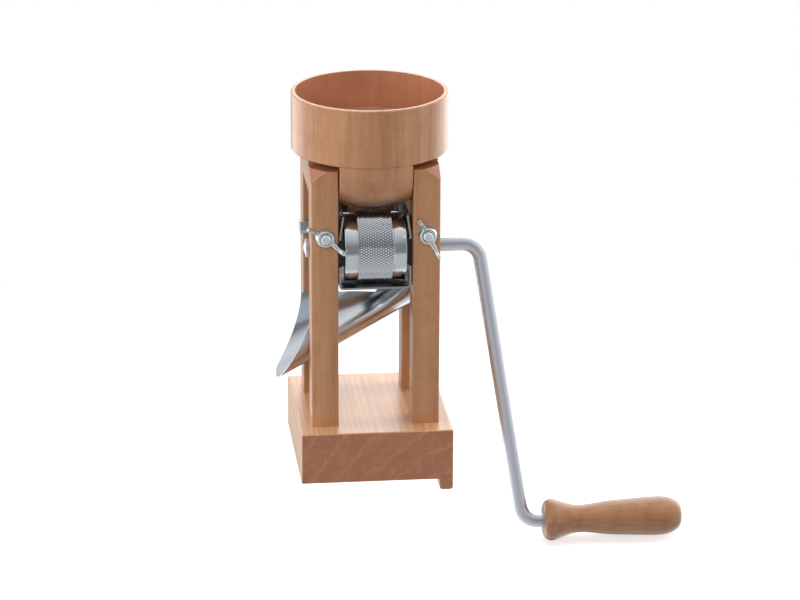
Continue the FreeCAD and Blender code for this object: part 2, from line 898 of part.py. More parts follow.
os.makedirs("parts", exist_ok=True)
for node_name, node_shape in all_nodes().items():
    node_shape.exportStep("parts/" + node_name + ".step")
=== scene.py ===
import math

import bmesh
import bpy
from mathutils import Matrix, Vector


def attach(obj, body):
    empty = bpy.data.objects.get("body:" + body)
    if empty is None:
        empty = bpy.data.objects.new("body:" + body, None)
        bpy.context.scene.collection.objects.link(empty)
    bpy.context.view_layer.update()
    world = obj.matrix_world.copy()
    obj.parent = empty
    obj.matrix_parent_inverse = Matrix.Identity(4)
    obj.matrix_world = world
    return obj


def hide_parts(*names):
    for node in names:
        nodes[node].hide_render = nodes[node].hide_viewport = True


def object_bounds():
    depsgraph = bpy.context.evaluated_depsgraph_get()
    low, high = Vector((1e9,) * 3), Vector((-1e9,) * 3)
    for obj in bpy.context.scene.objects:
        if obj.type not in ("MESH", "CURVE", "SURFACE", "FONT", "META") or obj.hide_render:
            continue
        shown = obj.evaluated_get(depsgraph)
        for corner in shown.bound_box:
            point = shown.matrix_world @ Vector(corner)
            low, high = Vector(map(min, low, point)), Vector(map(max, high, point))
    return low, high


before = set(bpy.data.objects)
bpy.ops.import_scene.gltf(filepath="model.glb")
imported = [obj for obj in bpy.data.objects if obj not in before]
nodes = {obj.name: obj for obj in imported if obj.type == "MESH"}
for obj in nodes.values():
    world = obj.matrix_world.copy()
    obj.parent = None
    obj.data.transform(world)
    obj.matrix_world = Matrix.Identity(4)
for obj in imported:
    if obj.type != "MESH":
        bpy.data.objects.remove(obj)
cad_low, cad_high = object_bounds()

MM = 0.001
TURN = 2 * math.pi


def srgb(red, green, blue):
    """Linear colour of one that is given from 0 to 255."""
    def linear(level):
        level = level / 255
        return level / 12.92 if level <= 0.04045 else ((level + 0.055) / 1.055) ** 2.4
    return (linear(red), linear(green), linear(blue), 1.0)


# Camera: angles in degrees, place in metres, focal length in pixels of a VIEW_WIDTH wide view
CAM_YAW, CAM_PITCH, CAM_ROLL = 6.415, 18.962, 0.244
CAM_PLACE = Vector((-0.28478, -2.76201, 1.08835))
CAM_FOCAL, VIEW_WIDTH, SENSOR = 3525.165, 800, 36.0
CLIP_NEAR, CLIP_FAR = 0.05, 60

# Lamps: name, place and aim in metres, width and height in metres, power in watts
LAMPS = (
    ("top_light", (0.1, 0.10, 1.7), (0, 0, 0.15), (1.6, 1.2), 11),
    ("front_light", (-0.5, -2.4, 1.3), (0, 0, 0.15), (1.2, 1.0), 24),
    ("left_light", (-1.8, 0.1, 0.75), (0, 0, 0.15), (0.7, 1.2), 19),
    ("right_light", (1.7, 0.5, 0.8), (0, 0, 0.2), (0.7, 1.2), 15),
)

# Brightness of the world: even light, and what glossy surfaces mirror from each side
WORLD_FILL = 0.33
ROOM_LEVEL, BACKDROP_EXTRA = 0.95, 1.3
FRONT_LEVEL, FRONT_CEILING, FRONT_GROUND = 0.25, 0.50, 0.33
BACK_SHADE, LEFT_CALM = 2.05, 1.40

# Where those parts begin and are whole, by the direction's X, Y or Z
CEILING_Z, GROUND_Z, RAISED_Z = (0.30, 0.92), (-0.12, -0.28), (0.02, 0.16)
BEHIND_Y, AHEAD_Y = (0.25, 0.65), (-0.10, -0.40)
ASIDE_X, CALM_X = (0.22, 0.40), (-0.06, -0.18)
FRONT_LEFT_X, FRONT_RIGHT_X = (-0.62, -0.30), (0.80, 0.50)

# Floor, in metres: radius, gap under the object, and where it fades to nothing
FLOOR_RADIUS, FLOOR_GAP, FLOOR_POINTS = 0.8, 0.0005, 64
FLOOR_FADE = (0.42, 0.75)
FLOOR_WHITE, FLOOR_GLOW = 0.93, 0.50

# Colours of the oiled wood; the inside and foot colours are painted shade, and the end grain
# colour also paints the shade on the post tops
WOOD_PALE = srgb(210, 157, 112)
WOOD_MID = srgb(195, 140, 98)
WOOD_DARK = srgb(168, 111, 74)
WOOD_FLECK = srgb(148, 90, 60)
WOOD_INSIDE_SHADE = srgb(176, 112, 86)
WOOD_FOOT_SHADE = srgb(92, 56, 40)
WOOD_END = srgb(163, 97, 66)
WOOD_END_PALE = srgb(198, 134, 99)

# Factors that lighten or darken all of a wooden piece; the base block's is painted light, the
# washed-out pale of its lit top and sides
PLAIN = (1.0, 1.0, 1.0)
GREYER = (0.98, 0.965, 0.951)
LIGHTER = (1.02, 1.005, 0.989)
GRIP_TONE = (0.82, 0.808, 0.795)
BASE_PAINTED_LIGHT_TONE = (1.36, 1.59, 1.80)

# Share of its length that a pattern keeps along the grain, which draws it out
GRAIN_STRETCH, FLECK_STRETCH, RING_STRETCH = 0.035, 0.16, 0.03

# Growth rings: how close and how wandering they are, on long faces and on end grain
RINGS, RING_WANDER, RING_SHARE = 300, 4.0, 0.16
END_RINGS, END_WANDER = 330, 9.0

# Strength of the short flecks, the soft clouds, the end grain's pale blotches and its late wood
SPECK_SHARE, CLOUD_SHARE, BLOTCH_SHARE, LATE_SHARE = 0.35, 0.55, 0.5, 0.35

# Thin coat of oil
WOOD_COAT, WOOD_COAT_ROUGH = 0.65, 0.28

# How much of a darker wood colour shows where it does: painted shade inside the hopper and
# under its bowl, end grain that also paints shade on the post tops, and end grain on the base's
# front
INSIDE_SHADE_SHARE, FOOT_SHADE_SHARE, POST_TOP_END_AND_SHADE_SHARE, BASE_FRONT_SHARE = 0.62, 0.8, 0.7, 0.85

# Fine marks in metal, the painted shade in the knurling's hollows, and the cloudiness of
# plastic
MARK_STRETCH, MARK_DARKER, CLOUD_LIGHTER = 0.03, 0.82, 1.5
KNURL_GAP_SHADE_COLOUR = (0.02, 0.02, 0.025, 1)

# Hopper, in mm, where its painted shade lies inside and under its bowl: height of the cone's
# lower end, a line just under the cone's surface, and bands that begin at the first number and
# are whole at the second
CONE_FOOT_Z, CONE_REACH, CONE_TOP_Z, CONE_SKIN = 248.0, 15.5, (270.0, 269.0), (0.0, 0.5)
INNER_WALL, COLLAR_FLOOR_Z = (61.8, 60.6), (266.5, 269.0)
# Band in which the painted shade under the bowl begins and is whole
BOWL_FOOT_SHADE_Z = (239.0, 228.5)

# Posts, in mm: their flat top, the cone that turns their outer corners round, and the band
# under both in which the end grain's colour, which also paints the shade under the collar,
# begins and is whole
POST_TOP_Z, POST_TURN_RADIUS, POST_TURN_SLOPE = 262.3, 65.0, 0.9
POST_TOP_SKIN = (-0.4, -0.15)

# Front face of the base block, in mm
BASE_FRONT_Y = (-69.2, -70.1)

# Rollers, in mm, with the reach and the ends of the painted shade in the knurling
ROLLER_Y, AXLE_Z = 28.2, 191.0
ROLLER_RADIUS, ROLLER_HALF, ROLLER_BORE = 28.0, 25.3, 6.0
ROLLER_EDGE, ROLLER_EDGE_MIDDLE, ROLLER_POINTS = 0.7, 0.3, 224
KNURL_HALF, KNURL_BASE, KNURL_RISE = 14.1, 27.30, 0.65
KNURL_COLUMNS, KNURL_ROWS = 7, 76
KNURL_TIP, KNURL_FOOT = 0.12, 0.5
KNURL_SHADE_REACH, KNURL_END = (27.65, 27.38), (14.3, 14.2)
GROOVE_HALF, GROOVE_RADIUS, GROOVE_EDGE = 15.1, 27.35, 0.25

# Wing nuts, in mm: hub as rise and radius, wings and their punched slots as reach and rise
NUT_X, BOLT_Z, NUT_FACE_Y = 41.7, 208.2, -53.35
NUT_HUB = ((0.0, 4.15), (0.0, 7.7), (0.3, 8.0), (2.2, 8.0), (7.9, 6.9), (8.7, 6.4), (9.0, 5.6),
           (9.0, 4.8), (8.5, 4.15))
WING_OUTLINE = ((5.0, 0.6), (9.5, 2.2), (14.5, 7.2), (18.6, 11.0), (19.5, 14.0), (18.4, 17.0),
                (15.6, 17.4), (13.0, 14.6), (10.6, 10.6), (7.6, 8.2), (5.0, 8.2))
WING_SLOT = ((9.4, 11.6), (8.2, 8.9), (9.6, 7.6), (13.6, 13.2), (12.4, 15.2))
WING_HALF, WING_THINNING, WING_TAPER_FROM, WING_TAPER_RUN = 1.9, 0.75, 6.0, 13.5
SLOT_HALF, NUT_POINTS, NUT_VOXEL = 0.62, 96, 0.30
LEFT_NUT_ANGLE, RIGHT_NUT_ANGLE = 36.6, 62.5

# Draw bolts, in mm
BOLT_TIP_Y, BOLT_HEAD_Y, THREAD_END_Y = -65.75, -25.45, -45.0
BOLT_RADIUS, THREAD_PITCH, THREAD_DEPTH = 4.0, 1.25, 0.62
TIP_LOSS, TIP_FIRST_LOSS, TIP_SLOPE, THREAD_FADE = 1.5, 0.85, 0.9, 2
THREAD_STEPS, CREST_STRETCH, BOLT_POINTS = 10, 1.25, 48
BOLT_HEAD_RADIUS, BOLT_HEAD_RISE, NECK_DEPTH, NECK_HALF = 8.0, 4.4, 1.6, 3.98
HEAD_GAP, HEAD_EDGE, HEAD_SIDE, HEAD_FLAT, HEAD_RINGS = 0.01, 0.3, 0.25, 0.02, 12

# Angle in degrees over which an edge is sharp, and the width in mm of the round on a node's
# sharp edges
SHARP_ANGLE = 35
WORN_EDGES = {
    "yoke": 0.2, "chute": 0.2, "washer_left": 0.35, "washer_right": 0.35,
    "side_rail_left": 1.2, "side_rail_right": 1.2, "bearing_block_left": 0.5,
    "bearing_block_right": 0.5,
}


def mm(sizes):
    return [size * MM for size in sizes]


class Val:
    """A node's output that takes part in Python arithmetic."""

    def __init__(self, graph, socket):
        self.graph = graph
        self.socket = socket

    def _math(self, operation, *values):
        return self.graph.node("ShaderNodeMath", {"operation": operation},
                               dict(enumerate(values)))

    def __add__(self, other):
        return self._math("ADD", self, other)

    def __sub__(self, other):
        return self._math("SUBTRACT", self, other)

    def __rsub__(self, other):
        return self._math("SUBTRACT", other, self)

    def __mul__(self, other):
        return self._math("MULTIPLY", self, other)

    def __truediv__(self, other):
        return self._math("DIVIDE", self, other)

    def __pow__(self, other):
        return self._math("POWER", self, other)

    __radd__ = __add__
    __rmul__ = __mul__

    def clamp(self):
        return self.graph.node("ShaderNodeClamp", {}, {"Value": self})

    def sine(self):
        return self._math("SINE", self)

    def cosine(self):
        return self._math("COSINE", self)

    def fold(self):
        return self._math("ABSOLUTE", self)

    def at_least(self, other):
        return self._math("MAXIMUM", self, other)

    def at_most(self, other):
        return self._math("MINIMUM", self, other)

    def steps(self, low, high, to_low=0.0, to_high=1.0):
        """The range from low to high spread over another, and held at its ends."""
        return self.graph.node("ShaderNodeMapRange", {}, {
            "Value": self, "From Min": low, "From Max": high,
            "To Min": to_low, "To Max": to_high})

    def part(self, axis):
        return self.graph.node("ShaderNodeSeparateXYZ", {}, {0: self}, axis)

    def times(self, factors):
        return self.graph.node("ShaderNodeVectorMath", {"operation": "MULTIPLY"},
                               {0: self, 1: factors})

    def length(self):
        return self.graph.node("ShaderNodeVectorMath", {"operation": "LENGTH"}, {0: self},
                               "Value")

    def off_middle(self):
        """Distance from the upright line through the middle of the hopper."""
        return self.times((1, 1, 0)).length()


class Graph:
    """A node tree and the one way its nodes are made."""

    def __init__(self, tree):
        self.tree = tree

    def node(self, kind, settings, inputs, output=0):
        """A new node's output; a list of values goes to one socket that takes several."""
        made = self.tree.nodes.new(kind)
        for key, value in settings.items():
            setattr(made, key, value)
        for key, value in inputs.items():
            for each in value if isinstance(value, list) else [value]:
                self.feed(made.inputs[key], each)
        return Val(self, made.outputs[output]) if made.outputs else None

    def feed(self, socket, value):
        if isinstance(value, Val):
            self.tree.links.new(value.socket, socket)
        else:
            socket.default_value = value

    def blend(self, share, first, second):
        return self.node("ShaderNodeMixShader", {}, {0: share, 1: first, 2: second})

    def light_path(self, kind):
        return self.node("ShaderNodeLightPath", {}, {}, kind)


class Mat(Graph):
    """One procedural material."""

    def __init__(self, name):
        self.material = bpy.data.materials.new(name)
        self.material.use_nodes = True
        super().__init__(self.material.node_tree)
        self.shader = self.tree.nodes["Principled BSDF"]

    def place(self, shift=(0, 0, 0), scale=(1, 1, 1)):
        """Object coordinates in metres, shifted and stretched."""
        coords = self.node("ShaderNodeTexCoord", {}, {}, "Object")
        return self.node("ShaderNodeMapping", {}, {
            "Vector": coords, "Location": shift, "Scale": scale})

    def noise(self, vector, scale, detail, roughness=0.5, distortion=0.0):
        return self.node("ShaderNodeTexNoise", {}, {
            "Vector": vector, "Scale": scale, "Detail": detail, "Roughness": roughness,
            "Distortion": distortion}, "Fac")

    def mix(self, share, first, second, kind="MIX"):
        return self.node("ShaderNodeMix", {"data_type": "RGBA", "blend_type": kind},
                         {0: share, 6: first, 7: second}, 2)

    def bump(self, height, strength, distance):
        self.set("Normal", self.node("ShaderNodeBump", {}, {
            "Height": height, "Strength": strength, "Distance": distance}, "Normal"))

    def set(self, name, value):
        self.feed(self.shader.inputs[name], value)


def drawn_out(axis, share):
    """Scale that keeps a share of a pattern's size along one axis."""
    return tuple(share if place == axis else 1.0 for place in range(3))


def wood(name, axis, shift, tone=PLAIN, streaks=0.0, marks=(), ring_centre=None):
    """Oiled beech: long grain along an axis, short ray flecks, and rings round a centre.

    Each mark is a function that gives a share, and the colour that the share brings in; some
    marks paint shade.
    """
    mat = Mat(name)
    along = mat.place(shift, drawn_out(axis, GRAIN_STRETCH))
    flecks = mat.place(shift, drawn_out(axis, FLECK_STRETCH))
    broad = mat.noise(along, scale=60, detail=4, roughness=0.6, distortion=0.5 + streaks)
    grain = mat.noise(along, scale=420, detail=3, roughness=0.6, distortion=0.3)
    fibre = mat.noise(along, scale=1500, detail=2, roughness=0.6)
    speck = mat.noise(flecks, scale=1300, detail=1).steps(0.64, 0.76)
    height = grain * 0.5 + fibre * 0.5
    if ring_centre:
        across = mat.place(tuple(-c for c in ring_centre)).times(drawn_out(axis, RING_STRETCH))
        wander = mat.noise(across, scale=22, detail=3, roughness=0.55)
        reach = across.length()
        rings = ((reach * RINGS + wander * RING_WANDER) * TURN).sine().steps(-1.0, 1.0)
        broad = broad * (1 - RING_SHARE) + rings * RING_SHARE
    colour = mat.mix(broad.steps(0.32, 0.68), WOOD_DARK, WOOD_PALE)
    colour = mat.mix(grain.steps(0.35, 0.65, 0.15, 0.75), colour, WOOD_MID)
    colour = mat.mix(speck * SPECK_SHARE, colour, WOOD_FLECK)
    if streaks:
        dark = mat.noise(along, scale=240, detail=4, roughness=0.65, distortion=0.9)
        colour = mat.mix(dark.steps(0.50, 0.68) * streaks, colour, WOOD_FLECK)
        cloud = mat.noise(mat.place(shift), scale=70, detail=2, distortion=0.5)
        colour = mat.mix(cloud.steps(0.50, 0.66) * (streaks * CLOUD_SHARE), colour, WOOD_FLECK)
    # Darker marks, among them painted shade inside and under the hopper and on the post tops
    for share, tint in marks:
        colour = mat.mix(share(mat), colour, tint)
    # Multiply by the tone; the base block's tone is painted light
    colour = mat.mix(1.0, colour, (*tone, 1), "MULTIPLY")
    if ring_centre:
        blotch = mat.noise(mat.place(), scale=130, detail=4, roughness=0.7, distortion=0.8)
        late = (reach * END_RINGS + wander * END_WANDER).sine().steps(0.70, 1.0)
        pale = (blotch.steps(0.46, 0.70) * BLOTCH_SHARE + late * LATE_SHARE).clamp()
        ends = mat.mix(pale, WOOD_END, WOOD_END_PALE)
        colour = mat.mix(front_end_share(mat), colour, ends)
    mat.set("Base Color", colour)
    mat.set("Roughness", height.steps(0.3, 0.7, 0.34, 0.46))
    mat.set("Coat Weight", WOOD_COAT)
    mat.set("Coat Roughness", WOOD_COAT_ROUGH)
    mat.bump(height, strength=0.14, distance=0.0003)
    return mat.material


def above(value):
    """The value where it is over nothing, and nothing where it is under."""
    return (value + value.fold()) * 0.5


def inside_shade_share(mat):
    """Share of the painted shade: all of the hopper's inside, none of its outside."""
    coords = mat.place()
    height, reach = coords.part("Z"), coords.off_middle()
    collar = reach.steps(*mm(INNER_WALL)) * height.steps(*mm(COLLAR_FLOOR_Z))
    surface = above(height - CONE_FOOT_Z * MM) + CONE_REACH * MM
    cone = (surface - reach).steps(*mm(CONE_SKIN)) * height.steps(*mm(CONE_TOP_Z))
    return (collar + cone).clamp() * INSIDE_SHADE_SHARE


def foot_shade_share(mat):
    """Share of the painted shade on the underside of the hopper's bowl, over the rollers."""
    return mat.place().part("Z").steps(*mm(BOWL_FOOT_SHADE_Z)) * FOOT_SHADE_SHARE


def post_top_end_grain_and_shade_share(mat):
    """Share of the end grain, which also paints the shade under the collar, on the tops of the
    posts, flat and turned, none below.
    """
    coords = mat.place()
    fall = above(coords.off_middle() - POST_TURN_RADIUS * MM) * (1 / POST_TURN_SLOPE)
    rise = coords.part("Z") + fall - POST_TOP_Z * MM
    return rise.steps(*mm(POST_TOP_SKIN)) * POST_TOP_END_AND_SHADE_SHARE


def front_end_share(mat):
    """Share of the end grain on the front of the base block, none elsewhere."""
    return mat.place().part("Y").steps(*mm(BASE_FRONT_Y)) * BASE_FRONT_SHARE


def knurl_gap_shade(mat):
    """Painted shade: one down in the knurling's hollows of either roller, none on its tips or
    elsewhere.
    """
    coords = mat.place()
    across = coords.part("Y").fold() - ROLLER_Y * MM
    height = coords.part("Z") - AXLE_Z * MM
    reach = (across * across + height * height) ** 0.5
    return reach.steps(*mm(KNURL_SHADE_REACH)) * coords.part("X").fold().steps(*mm(KNURL_END))


def scaled(colour, factor):
    return tuple(factor * level for level in colour[:3]) + (1,)


def steel(name, colour, rough, axis, streak, scale, bump, gap_shade=0.0):
    """Metal with fine marks along one axis; the last argument paints shade in the bottom of the
    knurling.
    """
    mat = Mat(name)
    drawn = mat.place(scale=drawn_out(axis, MARK_STRETCH))
    lines = mat.noise(drawn, scale, detail=3, roughness=0.6)
    cloud = mat.noise(mat.place(), scale=55, detail=3)
    shown = mat.mix(lines.steps(0.3, 0.7, 0.0, 0.35), colour, scaled(colour, MARK_DARKER))
    # Painted shade in the bottom of the knurling
    if gap_shade:
        shown = mat.mix(knurl_gap_shade(mat) * gap_shade, shown, KNURL_GAP_SHADE_COLOUR)
    mat.set("Metallic", 1.0)
    mat.set("Base Color", shown)
    mat.set("Roughness", lines.steps(0.3, 0.7, rough * (1 - streak), rough * (1 + streak))
            + cloud * (rough * 0.15))
    mat.bump(lines, strength=bump, distance=0.0001)
    return mat.material


def plastic(name, colour, rough):
    """Moulded plastic with a fine grit and slightly cloudy gloss."""
    mat = Mat(name)
    grit = mat.noise(mat.place(), scale=1600, detail=2)
    cloud = mat.noise(mat.place(), scale=60, detail=2)
    mat.set("Base Color", mat.mix(cloud, colour, scaled(colour, CLOUD_LIGHTER)))
    mat.set("Roughness", cloud.steps(0.3, 0.7, rough - 0.05, rough + 0.08))
    mat.bump(grit, strength=0.12, distance=0.0001)
    return mat.material


def make_finishes():
    """The finishes that aren't wood; axis 0 is X, 1 is Y and 2 is Z."""
    return {
        "stainless_sheet": steel("stainless_sheet", srgb(208, 214, 220), rough=0.16, axis=0,
                                 streak=0.05, scale=500, bump=0.01),
        "yoke_sheet": steel("yoke_sheet", srgb(172, 171, 172), rough=0.26, axis=0,
                            streak=0.15, scale=500, bump=0.02),
        # The roller steel paints shade in the bottom of its knurling
        "roller_steel": steel("roller_steel", srgb(224, 229, 234), rough=0.05, axis=1,
                              streak=0.2, scale=1500, bump=0.01, gap_shade=0.5),
        "bar_steel": steel("bar_steel", srgb(217, 222, 231), rough=0.38, axis=2,
                           streak=0.2, scale=800, bump=0.05),
        "zinc_steel": steel("zinc_steel", srgb(226, 237, 238), rough=0.15, axis=1,
                            streak=0.2, scale=400, bump=0.05),
        "black_plastic": plastic("black_plastic", srgb(26, 26, 27), rough=0.45),
    }


def dress(node, material):
    mesh = nodes[node].data
    mesh.materials.clear()
    mesh.materials.append(material)


def dress_wood():
    """Posts stand along Z, rails, dowels and base lie along Y, and the grip along X."""
    # Post tops get end grain colour, which also paints the shade under the collar
    post_top_end_and_shade_marks = ((post_top_end_grain_and_shade_share, WOOD_END),)
    for node, axis, shift, tone, marks in (
            ("post_front_left", 2, (0.31, 0.12, 0.05), PLAIN, post_top_end_and_shade_marks),
            ("post_front_right", 2, (0.77, 0.42, 0.25), GREYER, post_top_end_and_shade_marks),
            ("post_rear_left", 2, (0.13, 0.82, 0.45), PLAIN, post_top_end_and_shade_marks),
            ("post_rear_right", 2, (0.57, 0.23, 0.75), PLAIN, post_top_end_and_shade_marks),
            ("side_rail_left", 1, (0.21, 0.43, 0.15), LIGHTER, ()),
            ("side_rail_right", 1, (0.91, 0.33, 0.65), LIGHTER, ()),
            ("rail_dowels", 1, (0.2, 0.1, 0.3), PLAIN, ())):
        dress(node, wood(node + "_beech", axis, shift, tone, streaks=0.24, marks=marks))
    # The hopper's inside and the underside of its bowl get painted shade
    dress("hopper", wood("hopper_beech", 2, (0.37, 0.71, 0.85), streaks=0.34,
                         marks=((inside_shade_share, WOOD_INSIDE_SHADE), (foot_shade_share, WOOD_FOOT_SHADE))))
    dress("grip", wood("grip_beech", 0, (0.47, 0.61, 0.35), GRIP_TONE, streaks=0.5))
    # The base block's tone is painted light: its top and sides washed out pale as if strongly
    # lit
    dress("base_block", wood("base_block_beech", 1, (0.05, 0.95, 0.55), BASE_PAINTED_LIGHT_TONE,
                             ring_centre=(0.10, 0.0, -0.09)))


def dress_rest(finishes):
    for finish, group in (
            ("stainless_sheet", ("chute",)),
            ("yoke_sheet", ("yoke",)),
            ("bar_steel", ("crank_rod", "rear_axle", "axle_cap")),
            ("zinc_steel", ("washer_left", "washer_right", "chute_screws", "block_screws",
                            "base_screws", "grip_pin")),
            ("black_plastic", ("bearing_block_left", "bearing_block_right",
                               "rear_bush_left", "rear_bush_right"))):
        for node in group:
            dress(node, finishes[finish])


def wear_edges():
    """A narrow round on the sharp edges of CAD nodes."""
    for node, width in WORN_EDGES.items():
        made = nodes[node].modifiers.new("worn_edges", "BEVEL")
        made.width = width * MM
        made.segments = 2
        made.limit_method = "ANGLE"
        made.angle_limit = math.radians(SHARP_ANGLE)
        made.use_clamp_overlap = True
        made.harden_normals = True


def ring(axis, along, radius, centre, count):
    """Points of a circle round a line along X or Y, in mm; radius may depend on the angle."""
    points = []
    for step in range(count):
        angle = TURN * step / count
        reach = radius(angle) if callable(radius) else radius
        a, b = reach * math.cos(angle), reach * math.sin(angle)
        if axis == "X":
            points.append(Vector((along, centre[0] + a, centre[1] + b)))
        else:
            points.append(Vector((centre[0] + a, along, centre[1] + b)))
    return points


def add_shell(bm, rings, loop=False):
    """Closed skin through rings of equal count; loop joins the last to the first."""
    made = [[bm.verts.new(point) for point in points] for points in rings]
    pairs = list(zip(made, made[1:]))
    if loop:
        pairs.append((made[-1], made[0]))
    else:
        bm.faces.new(made[0])
        bm.faces.new(made[-1])
    for first, second in pairs:
        count = len(first)
        for step in range(count):
            after = (step + 1) % count
            bm.faces.new((first[step], first[after], second[after], second[step]))


def add_box(bm, low, high):
    corners = ((low[0], low[1]), (high[0], low[1]), (high[0], high[1]), (low[0], high[1]))
    add_shell(bm, [[Vector((x, y, z)) for x, y in corners] for z in (low[2], high[2])])


def shade_smooth(mesh):
    mesh.polygons.foreach_set("use_smooth", [True] * len(mesh.polygons))


def make_piece(name, bm, material, sharp=SHARP_ANGLE):
    """Object at the origin from a bmesh in mm, with edges over the sharp angle kept crisp."""
    bmesh.ops.recalc_face_normals(bm, faces=bm.faces)
    bm.transform(Matrix.Scale(MM, 4))
    mesh = bpy.data.meshes.new(name)
    bm.to_mesh(mesh)
    bm.free()
    mesh.materials.append(material)
    shade_smooth(mesh)
    mesh.set_sharp_from_angle(angle=math.radians(sharp))
    piece = bpy.data.objects.new(name, mesh)
    bpy.context.scene.collection.objects.link(piece)
    return piece


def bake(piece):
    """The piece's modifiers turned into a plain mesh."""
    graph = bpy.context.evaluated_depsgraph_get()
    mesh = bpy.data.meshes.new_from_object(piece.evaluated_get(graph))
    mesh.name = piece.name
    piece.modifiers.clear()
    piece.data = mesh


def stand_for(piece, node, body):
    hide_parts(node)
    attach(piece, body)


def roller_body(bm, y):
    """Smooth bands with eased edges, and a groove at each end of the knurled band."""
    middle = ROLLER_EDGE * ROLLER_EDGE_MIDDLE
    profile = [
        (-ROLLER_HALF, ROLLER_BORE), (-ROLLER_HALF, ROLLER_RADIUS - ROLLER_EDGE),
        (-ROLLER_HALF + middle, ROLLER_RADIUS - middle),
        (-ROLLER_HALF + ROLLER_EDGE, ROLLER_RADIUS),
        (-GROOVE_HALF - GROOVE_EDGE, ROLLER_RADIUS),
        (-GROOVE_HALF, ROLLER_RADIUS - GROOVE_EDGE), (-GROOVE_HALF, GROOVE_RADIUS),
        (-KNURL_HALF, GROOVE_RADIUS), (-KNURL_HALF, KNURL_BASE),
    ]
    profile += [(-x, radius) for x, radius in reversed(profile)]
    add_shell(bm, [ring("X", x, radius, (y, AXLE_Z), ROLLER_POINTS) for x, radius in profile],
              loop=True)


class Maker(Graph):
    """A Geometry Nodes tree with named inputs."""

    def __init__(self, name, inputs):
        super().__init__(bpy.data.node_groups.new(name, "GeometryNodeTree"))
        face = self.tree.interface
        for each, kind in (("Geometry", "Geometry"), *inputs.items()):
            face.new_socket(name=each, in_out="INPUT", socket_type="NodeSocket" + kind)
        face.new_socket(name="Geometry", in_out="OUTPUT", socket_type="NodeSocketGeometry")

    def given(self, name):
        return self.node("NodeGroupInput", {}, {}, name)

    def vector(self, x=0.0, y=0.0, z=0.0):
        return self.node("ShaderNodeCombineXYZ", {}, {0: x, 1: y, 2: z})


def pyramid_grid(make, step_x, step_y, stagger):
    """Points of one of the two grids that the knurling's pyramids stand on."""
    columns, rows = make.given("Columns") + stagger, make.given("Rows")
    grid = make.node("GeometryNodeMeshGrid", {}, {
        "Vertices X": columns, "Vertices Y": rows,
        "Size X": (columns - 1) * step_x, "Size Y": (rows - 1) * step_y})
    return make.node("GeometryNodeTransform", {}, {
        "Geometry": grid, "Translation": make.vector(y=step_y * (stagger * 0.5))})


def wrapped_place(make):
    """Where a flat point goes when the band is wound round a roller that lies along X."""
    radius, half = make.given("Radius"), make.given("Half Length")
    flat = make.node("GeometryNodeInputPosition", {}, {})
    reach, angle = flat.part("Z") + radius, flat.part("Y") / radius
    along = flat.part("X").at_most(half).at_least(half * -1.0)
    wrapped = make.vector(along, reach * angle.cosine(), reach * angle.sine())
    return make.node("ShaderNodeVectorMath", {"operation": "ADD"},
                     {0: wrapped, 1: make.given("Centre")})


def knurl_tree(material):
    """Two staggered grids of blunt pyramids, wrapped round a roller and joined to it."""
    make = Maker("knurling", {"Columns": "Int", "Rows": "Int", "Radius": "Float",
                              "Half Length": "Float", "Rise": "Float", "Centre": "Vector"})
    step_x = make.given("Half Length") * 2 / make.given("Columns")
    step_y = make.given("Radius") * TURN / make.given("Rows")
    pyramid = make.node("GeometryNodeMeshCone", {}, {
        "Vertices": 4, "Radius Top": KNURL_TIP, "Radius Bottom": KNURL_FOOT,
        "Depth": make.given("Rise")})
    grids = [pyramid_grid(make, step_x, step_y, stagger) for stagger in (0, 1)]
    points = make.node("GeometryNodeJoinGeometry", {}, {0: grids})
    placed = make.node("GeometryNodeInstanceOnPoints", {}, {
        "Points": points, "Instance": pyramid, "Scale": make.vector(step_x, step_y, 1.0)})
    real = make.node("GeometryNodeRealizeInstances", {}, {0: placed})
    crisp = make.node("GeometryNodeSetShadeSmooth", {}, {
        "Geometry": real, "Shade Smooth": False})
    bent = make.node("GeometryNodeSetPosition", {}, {
        "Geometry": crisp, "Position": wrapped_place(make)})
    whole = make.node("GeometryNodeJoinGeometry", {}, {0: [bent, make.given("Geometry")]})
    dressed = make.node("GeometryNodeSetMaterial", {}, {
        "Geometry": whole, "Material": material})
    make.node("NodeGroupOutput", {}, {"Geometry": dressed})
    return make.tree


def make_rollers(material):
    tree = knurl_tree(material)
    for node, y, body in (("front_roller", -ROLLER_Y, "crank"),
                          ("rear_roller", ROLLER_Y, "rear_roll")):
        bm = bmesh.new()
        roller_body(bm, y)
        piece = make_piece(node + "_knurled", bm, material, sharp=25)
        values = {"Columns": KNURL_COLUMNS, "Rows": KNURL_ROWS, "Radius": KNURL_BASE * MM,
                  "Half Length": KNURL_HALF * MM, "Rise": KNURL_RISE * MM,
                  "Centre": (0, y * MM, AXLE_Z * MM)}
        made = piece.modifiers.new("knurling", "NODES")
        made.node_group = tree
        for item in tree.interface.items_tree:
            if item.in_out == "INPUT" and item.name in values:
                made[item.identifier] = values[item.name]
        bake(piece)
        stand_for(piece, node, body)


def nut_point(centre_x, angle, reach, across, rise):
    """Point of a nut: distance from the axis along a wing, across it, and off the face."""
    c, s = math.cos(angle), math.sin(angle)
    return Vector((centre_x + reach * c + across * s, NUT_FACE_Y - rise,
                   BOLT_Z - reach * s + across * c))


def wing_half(reach):
    """Half the thickness of a wing, which thins towards its tip."""
    return WING_HALF - WING_THINNING * max(0.0, (reach - WING_TAPER_FROM) / WING_TAPER_RUN)


def forge(piece, name):
    made = piece.modifiers.new(name, "REMESH")
    made.mode = "VOXEL"
    made.voxel_size = NUT_VOXEL * MM


